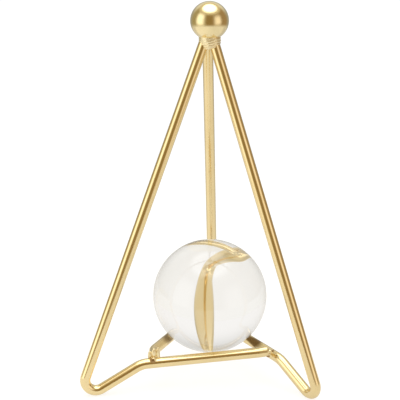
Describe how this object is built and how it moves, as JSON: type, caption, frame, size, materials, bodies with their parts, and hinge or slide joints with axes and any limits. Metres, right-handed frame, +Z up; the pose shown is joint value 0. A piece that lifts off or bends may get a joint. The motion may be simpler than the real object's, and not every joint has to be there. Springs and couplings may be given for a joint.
{
  "type": "decorative crystal sphere on a stand",
  "caption": "Clear crystal ball resting loose in a slim gold pyramid stand of bent rods, topped by a small gold ball.",
  "frame": {"origin": "middle of the footprint, on the surface that the feet stand on", "axes": "+Z up, -Y towards the front seat bar, +X to the right seen from the front"},
  "size_m": [0.1028, 0.0924, 0.1658],
  "materials": {
    "gold_plate": "satin gold plating on steel rod",
    "pale_gold_plate": "smooth pale gold plating on a steel ball",
    "clear_crystal": "clear polished crystal glass"
  },
  "bodies": {
    "root": {"rod_left": "gold_plate", "rod_right": "gold_plate", "rod_back": "gold_plate", "finial_ball": "pale_gold_plate", "crystal_ball": "clear_crystal"}
  },
  "joints": []
}
